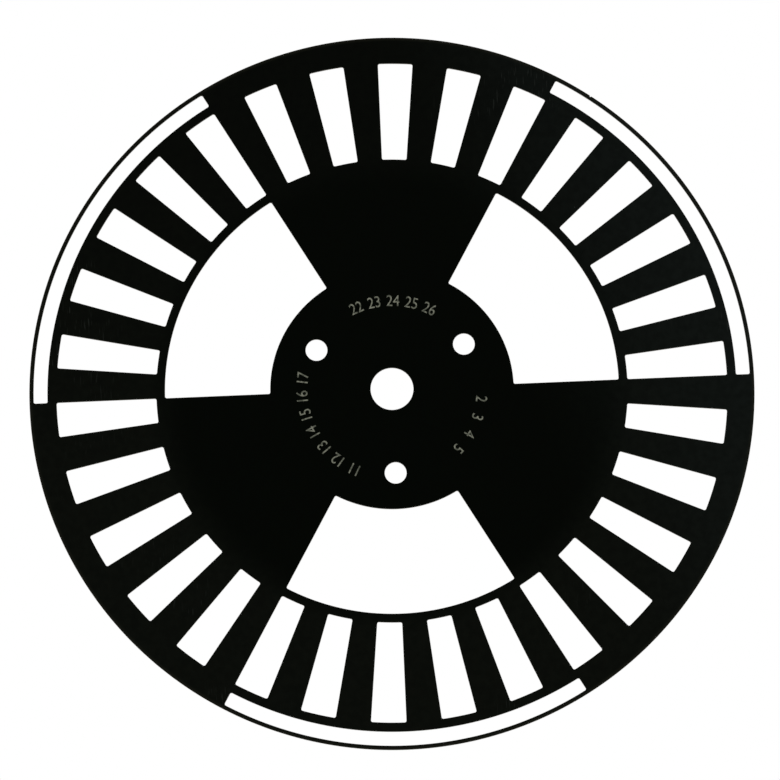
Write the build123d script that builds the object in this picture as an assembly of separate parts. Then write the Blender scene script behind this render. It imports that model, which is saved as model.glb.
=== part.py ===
"""Blade of an optical chopper: a flat black disc cut from thin sheet, turned by a motor hub.

Row frame in millimetres: origin at the centre of the bore, halfway through the sheet. The spin axis
is +Y, the marked front face looks along -Y, and +Z is up. Angles run anticlockwise from +X as seen
from the front, and +X lies along the first radial side of a slot, a window and a reference slot.
"""

import os

from build123d import *

# Sheet and outline
BLADE_DIAMETER = 101.6
SHEET_THICKNESS = 0.25

# Hub area in the middle, solid but for the holes that fit the motor hub
HUB_AREA_DIAMETER = 34.13
BORE_DIAMETER = 6.0
SCREW_HOLE_DIAMETER = 3.05
SCREW_CIRCLE_DIAMETER = 23.9

# Radial widths from the rim inwards, down to the windows, which reach the hub area
RIM_STRIP = 0.59
REFERENCE_SLOT_WIDTH = 1.94
OUTER_WEB = 1.27
SLOT_LENGTH = 13.98
INNER_WEB = 1.22

# Openings in one turn of each ring; every opening is as wide in angle as the land beside it
SLOT_COUNT = 30
WINDOW_COUNT = 3

# Radius that the cutting leaves in every corner of an opening
CORNER_RADIUS = 0.25

# Half-round relief in the rim, where the tab that held the blade in its sheet was snapped off
TAB_NICK_RADIUS = 0.13
TAB_NICK_ANGLE = 53.9

# Radii of the rings of openings
BLADE_RADIUS = BLADE_DIAMETER / 2
REFERENCE_OUTER = BLADE_RADIUS - RIM_STRIP
REFERENCE_INNER = REFERENCE_OUTER - REFERENCE_SLOT_WIDTH
SLOT_OUTER = REFERENCE_INNER - OUTER_WEB
SLOT_INNER = SLOT_OUTER - SLOT_LENGTH
WINDOW_OUTER = SLOT_INNER - INNER_WEB
WINDOW_INNER = HUB_AREA_DIAMETER / 2

# A window, a land and so on share one turn
WINDOW_PITCH = 360 / WINDOW_COUNT


def opening(inner_radius, outer_radius, span):
    """One opening with radial sides and concentric ends, from angle 0 to span, corners rounded."""
    with BuildSketch() as sketch:
        with BuildLine():
            outer_end = CenterArc((0, 0), outer_radius, 0, span)
            inner_end = CenterArc((0, 0), inner_radius, 0, span)
            Line(inner_end @ 0, outer_end @ 0)
            Line(inner_end @ 1, outer_end @ 1)
        make_face()
        fillet(sketch.vertices(), CORNER_RADIUS)
    return sketch.sketch


def ring_of_openings(inner_radius, outer_radius, count):
    """Equal openings all the way round, each followed by a land of the same angle."""
    pitch = 360 / count
    one = opening(inner_radius, outer_radius, pitch / 2)
    return [Rot(0, 0, turn * pitch) * one for turn in range(count)]


def hub_holes():
    """The bore, and a ring of screw holes, each on the middle line of a window."""
    middle_of_window = WINDOW_PITCH / 4
    screw_places = PolarLocations(SCREW_CIRCLE_DIAMETER / 2, WINDOW_COUNT, middle_of_window)
    screw_holes = [place * Circle(SCREW_HOLE_DIAMETER / 2) for place in screw_places]
    return [Circle(BORE_DIAMETER / 2), *screw_holes]


def tab_nick():
    """The relief in the rim, a circle centred on it."""
    return Rot(0, 0, TAB_NICK_ANGLE) * Pos(BLADE_RADIUS, 0) * Circle(TAB_NICK_RADIUS)


def flat_pattern():
    """The outline of the blade with all that is cut from it, drawn as seen from the front."""
    cuts = [
        *hub_holes(),
        *ring_of_openings(WINDOW_INNER, WINDOW_OUTER, WINDOW_COUNT),
        *ring_of_openings(SLOT_INNER, SLOT_OUTER, SLOT_COUNT),
        *ring_of_openings(REFERENCE_INNER, REFERENCE_OUTER, WINDOW_COUNT),
        tab_nick(),
    ]
    return Circle(BLADE_RADIUS) - cuts


def blade():
    """The flat pattern stood upright, with half the sheet's thickness on each side of the origin."""
    upright = Plane.XZ * flat_pattern()
    return extrude(upright, amount=SHEET_THICKNESS / 2, both=True)


os.makedirs("parts", exist_ok=True)
export_step(blade(), "parts/blade.step")
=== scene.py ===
"""Looks of the optical chopper blade: its finish, its marks, the floor, the light and the camera.

Lengths are in millimetres, and MM turns them into the metres of the frame. The spin axis is Y, the
front face looks along -Y, +Z is up, and angles run anticlockwise from +X as seen from the front.
"""
import math

import bmesh
import bpy
from mathutils import Matrix, Vector


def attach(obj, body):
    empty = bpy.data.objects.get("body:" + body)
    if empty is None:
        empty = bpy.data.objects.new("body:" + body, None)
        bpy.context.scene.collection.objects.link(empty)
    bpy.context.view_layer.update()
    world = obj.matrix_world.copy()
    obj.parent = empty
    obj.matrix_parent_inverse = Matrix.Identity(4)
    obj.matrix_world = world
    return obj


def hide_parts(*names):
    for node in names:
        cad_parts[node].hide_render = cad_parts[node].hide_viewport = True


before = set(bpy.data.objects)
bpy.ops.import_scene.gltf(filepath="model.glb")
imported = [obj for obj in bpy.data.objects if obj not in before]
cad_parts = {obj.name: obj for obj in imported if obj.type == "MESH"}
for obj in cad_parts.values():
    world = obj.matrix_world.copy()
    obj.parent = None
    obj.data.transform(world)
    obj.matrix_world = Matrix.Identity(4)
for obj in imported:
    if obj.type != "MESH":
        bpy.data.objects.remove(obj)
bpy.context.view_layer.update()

MM = 0.001
FULL_TURN = 2 * math.pi
QUARTER_TURN = math.pi / 2
CENTRE = Vector((0, 0))

# Driving sizes of the cut sheet, the same as in the CAD part
BLADE_DIAMETER = 101.6
SHEET_THICKNESS = 0.25
HUB_AREA_DIAMETER = 34.13
BORE_DIAMETER = 6.0
SCREW_HOLE_DIAMETER = 3.05
SCREW_CIRCLE_DIAMETER = 23.9
RIM_STRIP = 0.59
REFERENCE_SLOT_WIDTH = 1.94
OUTER_WEB = 1.27
SLOT_LENGTH = 13.98
INNER_WEB = 1.22
SLOT_COUNT = 30
WINDOW_COUNT = 3
CORNER_RADIUS = 0.25
TAB_NICK_RADIUS = 0.13
TAB_NICK_ANGLE = math.radians(53.9)

# Radii of the rings of openings
BLADE_RADIUS = BLADE_DIAMETER / 2
REFERENCE_OUTER = BLADE_RADIUS - RIM_STRIP
REFERENCE_INNER = REFERENCE_OUTER - REFERENCE_SLOT_WIDTH
SLOT_OUTER = REFERENCE_INNER - OUTER_WEB
SLOT_INNER = SLOT_OUTER - SLOT_LENGTH
WINDOW_OUTER = SLOT_INNER - INNER_WEB
WINDOW_INNER = HUB_AREA_DIAMETER / 2

# Finer than the CAD mesh: the edges are barely rounded, and each curve has many short steps. Points of
# the drawing that are closer than WELD become one.
EDGE_ROUNDING = 0.02
STEPS_PER_DEGREE = 2
CORNER_STEPS = 6
HOLE_STEPS = 96
WELD = 0.0001

# Numerals on the hub area, one to a slot and clockwise, left out where a screw hole is near
NUMBERED_SLOTS = (*range(2, 6), *range(11, 18), *range(22, 27))
NUMERAL_FOOT_RADIUS = 11.85
NUMERAL_HEIGHT = 1.55
NUMERAL_NARROWING = 0.85
NUMERAL_RISE = 0.01
NUMERAL_STEPS = 4
NUMERAL_WELD = 0.001

# Tones, as linear red, green and blue
HUB_BLACK = (0.0004, 0.0009, 0.0002)
# Painted light and shade on the ring of slots: lighter below, darker at the top
PAINTED_LIGHT_BELOW = (0.0026, 0.0032, 0.0021)
PAINTED_SHADE_ABOVE = (0.0012, 0.0016, 0.0009)
# Painted sheen, lighter towards the right
RIGHT_PAINTED_SHEEN = (0.0043, 0.0057, 0.0049)
# Painted light in a band along the rim
RIM_PAINTED_LIGHT = (0.012, 0.012, 0.008)
CLOUD_BLACK = (0.0002, 0.0004, 0.0002)
SCUFF_GREY = (0.03, 0.034, 0.03)
DUST_GREY = (0.06, 0.06, 0.055)
WORN_DARK, WORN_PALE = (0.11, 0.104, 0.084), (0.2, 0.19, 0.155)
MARK_DARK, MARK_PALE = (0.06, 0.065, 0.048), (0.17, 0.175, 0.135)
FLOOR_TONE = (0.85, 0.85, 0.85)
WHITE = (1, 1, 1)

# Painted light and shade: the black grows lighter from the windows to the slots, lighter a little
# downwards with painted shade at the top, and lighter towards one side as a painted sheen
HUB_BLACK_TO, RING_PAINTED_LIGHT_FROM = WINDOW_OUTER - 3, SLOT_INNER + 2
PAINTED_LIGHT_BELOW_TO, PAINTED_SHADE_ABOVE_FROM = -0.4 * BLADE_RADIUS, BLADE_RADIUS
PAINTED_SHEEN_FROM, PAINTED_SHEEN_FULL_FROM = 0.3 * BLADE_RADIUS, BLADE_RADIUS
PAINTED_SHEEN_TOWARDS = math.radians(20)

# How much each layer covers what is under it
# The rim's layer is painted light
RIM_PAINTED_LIGHT_SHARE = 0.6
CLOUD_SHARE = 0.3
SCUFF_SHARE = 0.3
DUST_SHARE = 0.5

# Features to a millimetre. Scuffs are fine across and long the other way.
CLOUDS_PER_MM = 0.9
SCUFFS_PER_MM = (5.2, 0, 0.42)
SCUFF_PATCHES_PER_MM = 0.062
DUST_CELLS_PER_MM = 0.26
WEAR_PER_MM = 1.7
GRAIN_PER_MM = 9.0
MARK_CHANGES_PER_MM = 2.6

SCUFFS_LEAN = math.radians(24)
GRAIN_DEPTH = 0.01

# Radius of a speck of dust as a share of its cell's width, and the share of cells that have no speck
DUST_SIZE = 0.02
CLEAN_CELLS = 0.75

# A surface is front or back where its normal runs at least so far along the spin axis, and cut elsewhere
FACE_NORMAL_FROM = 0.9

# Camera: where the centre of the front face lies from the lens, and how the blade is turned to it
FACE_FROM_LENS = Vector((0.28, 0.166, -683.0))
BLADE_TILT = math.radians(-10.85)
BLADE_YAW = math.radians(0.11)
BLADE_TURN = math.radians(2.445)
LENS = 225.0
SENSOR = 36.0

# The floor lies lower than the camera, which looks up a little. Near the blade it has its own tone.
FLOOR_Z = -160
FLOOR_RADIUS = 3000
FLOOR_SIDES = 96
FLOOR_TONED_TO = 150
FLOOR_WHITE_FROM = 450

# Soft light from one lamp and from all round
LAMP_PLACE = Vector((550, -900, 800))
LAMP_SIZE = 600
LAMP_WATTS = 6.0
SKY_STRENGTH = 0.75

# From a drawing, x right and y up, to the middle of the sheet in the frame, and to its front face
INTO_SHEET = Matrix.Rotation(QUARTER_TURN, 4, "X") @ Matrix.Scale(MM, 4)
ONTO_FRONT_FACE = INTO_SHEET @ Matrix.Translation((0, 0, SHEET_THICKNESS / 2))


def with_identifier(sockets, identifier):
    """The one socket with an identifier, for a node whose sockets share their names."""
    return next(socket for socket in sockets if socket.identifier == identifier)


class Graph:
    """The nodes of a material or of the world, added and joined in short steps."""

    def __init__(self, owner):
        owner.use_nodes = True
        self.tree = owner.node_tree

    def feed(self, socket, value):
        """Joins a socket to another, or sets its number or colour."""
        if isinstance(value, bpy.types.NodeSocket):
            self.tree.links.new(value, socket)
        elif socket.type == "RGBA":
            socket.default_value = (*value, 1)
        else:
            socket.default_value = value

    def feed_node(self, name, values):
        """Feeds the named inputs of a node that the graph starts with."""
        for socket, value in values.items():
            self.feed(self.tree.nodes[name].inputs[socket], value)

    def add(self, kind, *values, **named):
        """A new node, its first inputs fed in order and others by name."""
        node = self.tree.nodes.new(kind)
        for socket, value in zip(node.inputs, values):
            self.feed(socket, value)
        for name, value in named.items():
            self.feed(node.inputs[name], value)
        return node

    def maths(self, operation, *values):
        node = self.add("ShaderNodeMath", *values)
        node.operation = operation
        return node.outputs[0]

    def product(self, first, *others):
        for other in others:
            first = self.maths("MULTIPLY", first, other)
        return first

    def ramp(self, value, low, high):
        """0 below low, 1 above high, and smooth between."""
        node = self.add("ShaderNodeMapRange", value, low, high)
        node.interpolation_type = "SMOOTHSTEP"
        return node.outputs[0]

    def mix(self, share, first, second):
        """The first colour where the share is 0, and the second where it is 1."""
        node = self.tree.nodes.new("ShaderNodeMix")
        node.data_type = "RGBA"
        self.feed(with_identifier(node.inputs, "Factor_Float"), share)
        self.feed(with_identifier(node.inputs, "A_Color"), first)
        self.feed(with_identifier(node.inputs, "B_Color"), second)
        return with_identifier(node.outputs, "Result_Color")

    def place(self):
        """Where a point of the surface is, in millimetres."""
        object_place = self.add("ShaderNodeTexCoord").outputs["Object"]
        return self.add("ShaderNodeMapping", object_place, Scale=(1 / MM, 1 / MM, 1 / MM)).outputs[0]

    def turned(self, place, angle, scale=(1, 1, 1)):
        """A place turned about the spin axis, so that its X runs along an angle, and scaled."""
        return self.add("ShaderNodeMapping", place, Rotation=(0, angle, 0), Scale=scale).outputs[0]

    def axis(self, vector, name):
        return self.add("ShaderNodeSeparateXYZ", vector).outputs[name]

    def noise(self, place, per_mm, detail=2.0):
        return self.add("ShaderNodeTexNoise", place, Scale=per_mm, Detail=detail).outputs[0]

    def scuffs(self, place, radius):
        """Fine slanting streaks in a few patches, none of them inside the ring of slots."""
        streaked = self.noise(self.turned(place, SCUFFS_LEAN, SCUFFS_PER_MM), 1.0, 1.0)
        patched = self.noise(place, SCUFF_PATCHES_PER_MM, 1.0)
        streaks, patches = self.ramp(streaked, 0.62, 0.72), self.ramp(patched, 0.55, 0.66)
        return self.product(streaks, patches, self.ramp(radius, SLOT_INNER, SLOT_OUTER))

    def dust(self, place):
        """A small speck in some of the cells that share out the surface."""
        cells = self.add("ShaderNodeTexVoronoi", place, Scale=DUST_CELLS_PER_MM)
        small = self.maths("LESS_THAN", cells.outputs["Distance"], DUST_SIZE)
        chance = self.add("ShaderNodeSeparateColor", cells.outputs["Color"]).outputs[0]
        return self.product(small, self.maths("GREATER_THAN", chance, CLEAN_CELLS))


def black_finish():
    """Matt black with painted light and shade: lighter outside, lower down and to the right, with a
    lighter rim band; also faint clouds, scuffs, dust and worn cut walls.
    """
    material = bpy.data.materials.new("matt_black_with_painted_light")
    g = Graph(material)
    place = g.place()
    across, up = g.axis(place, "X"), g.axis(place, "Z")
    radius = g.maths("SQRT", g.maths("ADD", g.product(across, across), g.product(up, up)))

    # Painted shade: the ring is darker at the top and lighter at the bottom
    ring = g.mix(g.ramp(up, PAINTED_LIGHT_BELOW_TO, PAINTED_SHADE_ABOVE_FROM), PAINTED_LIGHT_BELOW, PAINTED_SHADE_ABOVE)
    # Painted light: the ring of slots is lighter than the hub
    face = g.mix(g.ramp(radius, HUB_BLACK_TO, RING_PAINTED_LIGHT_FROM), HUB_BLACK, ring)
    # Painted sheen: lighter towards the right
    sideways = g.axis(g.turned(place, PAINTED_SHEEN_TOWARDS), "X")
    face = g.mix(g.ramp(sideways, PAINTED_SHEEN_FROM, PAINTED_SHEEN_FULL_FROM), face, RIGHT_PAINTED_SHEEN)
    # Painted light: a lighter band along the rim
    face = g.mix(g.product(g.ramp(radius, REFERENCE_OUTER, BLADE_RADIUS), RIM_PAINTED_LIGHT_SHARE), face, RIM_PAINTED_LIGHT)

    clouds = g.ramp(g.noise(place, CLOUDS_PER_MM, 3.0), 0.3, 0.7)
    face = g.mix(g.product(clouds, CLOUD_SHARE), face, CLOUD_BLACK)
    face = g.mix(g.product(g.scuffs(place, radius), SCUFF_SHARE), face, SCUFF_GREY)
    face = g.mix(g.product(g.dust(place), DUST_SHARE), face, DUST_GREY)

    worn = g.mix(g.noise(place, WEAR_PER_MM), WORN_DARK, WORN_PALE)
    along_axis = g.maths("ABSOLUTE", g.axis(g.add("ShaderNodeTexCoord").outputs["Normal"], "Y"))
    colour = g.mix(g.maths("LESS_THAN", along_axis, FACE_NORMAL_FROM), face, worn)

    height = g.noise(place, GRAIN_PER_MM)
    grain = g.add("ShaderNodeBump", Height=height, Strength=0.15, Distance=GRAIN_DEPTH * MM)
    g.feed_node("Principled BSDF", {
        "Base Color": colour,
        "Roughness": g.maths("MULTIPLY_ADD", clouds, 0.12, 0.4),
        "Normal": grain.outputs[0],
        "Specular IOR Level": 0.006,
        "Sheen Weight": 0.12,
        "Sheen Roughness": 0.4,
    })
    return material


def mark_finish():
    """Grey of a fine engraving, a little uneven."""
    material = bpy.data.materials.new("engraved_mark")
    g = Graph(material)
    uneven = g.ramp(g.noise(g.place(), MARK_CHANGES_PER_MM), 0.35, 0.65)
    g.feed_node("Principled BSDF", {
        "Base Color": g.mix(uneven, MARK_DARK, MARK_PALE),
        "Roughness": 0.7,
        "Specular IOR Level": 0.1,
    })
    return material


def on_circle(radius, angle):
    return radius * Vector((math.cos(angle), math.sin(angle)))


def arc(centre, radius, start, end, steps):
    """Points along an arc, both ends included."""
    return [centre + on_circle(radius, start + (end - start) * step / steps) for step in range(steps + 1)]


def hole(centre, radius):
    return arc(centre, radius, 0, FULL_TURN, HOLE_STEPS)[:-1]


def rim():
    """The outer circle, with the half-round relief where the blade's tab was snapped off."""
    reach = math.acos(1 - (TAB_NICK_RADIUS / BLADE_RADIUS) ** 2 / 2)
    inwards = TAB_NICK_ANGLE + math.pi
    to_rim = QUARTER_TURN - reach / 2
    nick_centre = on_circle(BLADE_RADIUS, TAB_NICK_ANGLE)
    nick = arc(nick_centre, TAB_NICK_RADIUS, inwards + to_rim, inwards - to_rim, 2 * CORNER_STEPS)
    after, before = TAB_NICK_ANGLE + reach, TAB_NICK_ANGLE - reach + FULL_TURN
    return nick[:-1] + arc(CENTRE, BLADE_RADIUS, after, before, 360 * STEPS_PER_DEGREE)[:-1]


def opening(inner, outer, first, span):
    """An opening with concentric ends and radial sides, from its first side on, its corners rounded."""
    last = first + span
    outwards, inwards = outer - CORNER_RADIUS, inner + CORNER_RADIUS
    outer_lean, inner_lean = math.asin(CORNER_RADIUS / outwards), math.asin(CORNER_RADIUS / inwards)
    steps = round(math.degrees(span) * STEPS_PER_DEGREE)

    def corner(radius, angle, start, end):
        return arc(on_circle(radius, angle), CORNER_RADIUS, start, end, CORNER_STEPS)

    return [
        *corner(outwards, first + outer_lean, first - QUARTER_TURN, first + outer_lean),
        *arc(CENTRE, outer, first + outer_lean, last - outer_lean, steps)[1:-1],
        *corner(outwards, last - outer_lean, last - outer_lean, last + QUARTER_TURN),
        *corner(inwards, last - inner_lean, last + QUARTER_TURN, last - inner_lean + math.pi),
        *arc(CENTRE, inner, last - inner_lean, first + inner_lean, steps)[1:-1],
        *corner(inwards, first + inner_lean, first + inner_lean + math.pi, first + 3 * QUARTER_TURN),
    ]


def ring_of_openings(inner, outer, count):
    """Equal openings all the way round, each followed by a land of the same angle."""
    pitch = FULL_TURN / count
    return [opening(inner, outer, turn * pitch, pitch / 2) for turn in range(count)]


def cut_outlines():
    """Every closed line of the blade: its rim, its bore, its screw holes and its rings of openings."""
    middles_of_windows = [(turn + 1 / 4) * FULL_TURN / WINDOW_COUNT for turn in range(WINDOW_COUNT)]
    screw_places = [on_circle(SCREW_CIRCLE_DIAMETER / 2, middle) for middle in middles_of_windows]
    return [
        rim(),
        hole(CENTRE, BORE_DIAMETER / 2),
        *(hole(place, SCREW_HOLE_DIAMETER / 2) for place in screw_places),
        *ring_of_openings(WINDOW_INNER, WINDOW_OUTER, WINDOW_COUNT),
        *ring_of_openings(SLOT_INNER, SLOT_OUTER, SLOT_COUNT),
        *ring_of_openings(REFERENCE_INNER, REFERENCE_OUTER, WINDOW_COUNT),
    ]


def flat_solid(curve, weld, onto):
    """The mesh of a filled curve or text in its place, welded, and with no slivers in its flat faces."""
    carrier = bpy.data.objects.new(curve.name, curve)
    mesh = bpy.data.meshes.new_from_object(carrier)
    bpy.data.objects.remove(carrier)
    shape = bmesh.new()
    shape.from_mesh(mesh)
    bmesh.ops.remove_doubles(shape, verts=shape.verts, dist=weld)
    triangles = [face for face in shape.faces if len(face.verts) == 3]
    bmesh.ops.beautify_fill(shape, faces=triangles, edges=shape.edges)
    bmesh.ops.recalc_face_normals(shape, faces=shape.faces)
    shape.to_mesh(mesh)
    shape.free()
    mesh.transform(onto)
    return mesh


def add_object(name, data):
    made = bpy.data.objects.new(name, data)
    bpy.context.scene.collection.objects.link(made)
    return made


def add_piece(name, mesh, finish):
    """A piece of the blade, which has one body."""
    mesh.materials.clear()
    mesh.materials.append(finish)
    piece = add_object(name, mesh)
    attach(piece, "root")
    return piece


def add_blade():
    """The blade with smooth curves and softened edges, in place of the CAD node's coarser mesh."""
    sheet = bpy.data.curves.new("blade_sheet", "CURVE")
    sheet.dimensions = "2D"
    sheet.fill_mode = "BOTH"
    sheet.extrude = SHEET_THICKNESS / 2 - EDGE_ROUNDING
    sheet.bevel_depth = EDGE_ROUNDING
    sheet.bevel_resolution = 0
    sheet.offset = -EDGE_ROUNDING
    for outline in cut_outlines():
        spline = sheet.splines.new("POLY")
        spline.points.add(len(outline) - 1)
        spline.points.foreach_set("co", [number for point in outline for number in (*point, 0, 1)])
        spline.use_cyclic_u = True
    blade = add_piece("blade_sheet", flat_solid(sheet, WELD, INTO_SHEET), black_finish())
    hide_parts("blade")


def numeral(number):
    """One plain numeral, centred on the y axis, its foot on the x axis, one unit thick to each side."""
    text = bpy.data.curves.new("numeral", "FONT")
    text.body = str(number)
    text.align_x = "CENTER"
    text.resolution_u = NUMERAL_STEPS
    text.extrude = 1
    return text


def add_marks():
    """A numeral for each numbered slot, on the hub area, its top outwards."""
    drawn = flat_solid(numeral(1), NUMERAL_WELD, Matrix.Identity(4))
    scale = NUMERAL_HEIGHT / max(vertex.co.y for vertex in drawn.vertices)
    to_size = Matrix.Diagonal((scale * NUMERAL_NARROWING, scale, NUMERAL_RISE, 1))
    to_ring = Matrix.Translation((0, NUMERAL_FOOT_RADIUS, 0))
    pitch = FULL_TURN / SLOT_COUNT
    shape = bmesh.new()
    for number in NUMBERED_SLOTS:
        middle_of_slot = pitch / 4 - (number - 1) * pitch
        turn = Matrix.Rotation(middle_of_slot - QUARTER_TURN, 4, "Z")
        onto = ONTO_FRONT_FACE @ turn @ to_ring @ to_size
        shape.from_mesh(flat_solid(numeral(number), NUMERAL_WELD, onto))
    mesh = bpy.data.meshes.new("hub_marks")
    shape.to_mesh(mesh)
    shape.free()
    add_piece("hub_marks", mesh, mark_finish())


def seen_ray(g):
    """1 for what is seen straight, in a reflection or through glass, and 0 for light that spreads."""
    ray = g.add("ShaderNodeLightPath").outputs
    mirrored_or_through = g.maths("MAXIMUM", ray["Is Glossy Ray"], ray["Is Transmission Ray"])
    return g.maths("MAXIMUM", ray["Is Camera Ray"], mirrored_or_through)


def add_floor():
    """A pale floor that keeps the blade's shadow and turns white towards the horizon."""
    material = bpy.data.materials.new("floor")
    g = Graph(material)
    distance = g.add("ShaderNodeVectorMath", g.place())
    distance.operation = "LENGTH"
    far_off = g.ramp(distance.outputs["Value"], FLOOR_TONED_TO, FLOOR_WHITE_FROM)
    g.feed_node("Principled BSDF", {"Base Color": FLOOR_TONE, "Roughness": 0.9})
    pale = g.tree.nodes["Principled BSDF"].outputs[0]
    white = g.add("ShaderNodeEmission", WHITE, 1.0).outputs[0]
    blend = g.add("ShaderNodeMixShader", g.product(seen_ray(g), far_off), pale, white)
    g.feed_node("Material Output", {"Surface": blend.outputs[0]})

    shape = bmesh.new()
    bmesh.ops.create_circle(shape, cap_ends=True, segments=FLOOR_SIDES, radius=FLOOR_RADIUS * MM)
    mesh = bpy.data.meshes.new("floor")
    shape.to_mesh(mesh)
    shape.free()
    mesh.materials.append(material)
    floor = add_object("floor", mesh)
    floor.location.z = FLOOR_Z * MM


def add_world():
    """White to the eye and in reflections, and soft light all round."""
    world = bpy.data.worlds.new("studio")
    g = Graph(world)
    strength = g.maths("MULTIPLY_ADD", seen_ray(g), 1 - SKY_STRENGTH, SKY_STRENGTH)
    g.feed_node("Background", {"Color": WHITE, "Strength": strength})
    bpy.context.scene.world = world


def add_lamp():
    """One wide soft lamp, above and to the right of the camera, turned to the blade."""
    light = bpy.data.lights.new("soft_lamp", "AREA")
    light.shape = "DISK"
    light.size = LAMP_SIZE * MM
    light.energy = LAMP_WATTS
    lamp = add_object("soft_lamp", light)
    lamp.location = LAMP_PLACE * MM
    lamp.rotation_euler = (-LAMP_PLACE).to_track_quat("-Z", "Y").to_euler()


def add_camera():
    """A long lens, placed so that the blade stands in the picture as in the photograph."""
    lens = bpy.data.cameras.new("camera")
    lens.lens = LENS
    lens.sensor_width = SENSOR
    tilt, yaw = Matrix.Rotation(BLADE_TILT, 4, "X"), Matrix.Rotation(BLADE_YAW, 4, "Y")
    blade_turned = tilt @ yaw @ Matrix.Rotation(BLADE_TURN, 4, "Z")
    placed = ONTO_FRONT_FACE @ blade_turned.inverted() @ Matrix.Translation(-FACE_FROM_LENS)
    camera = add_object("camera", lens)
    camera.matrix_world = placed @ Matrix.Scale(1 / MM, 4)
    bpy.context.scene.camera = camera


add_blade()
add_marks()
add_floor()
add_world()
add_lamp()
add_camera()

bpy.context.scene.view_settings.view_transform = "Standard"
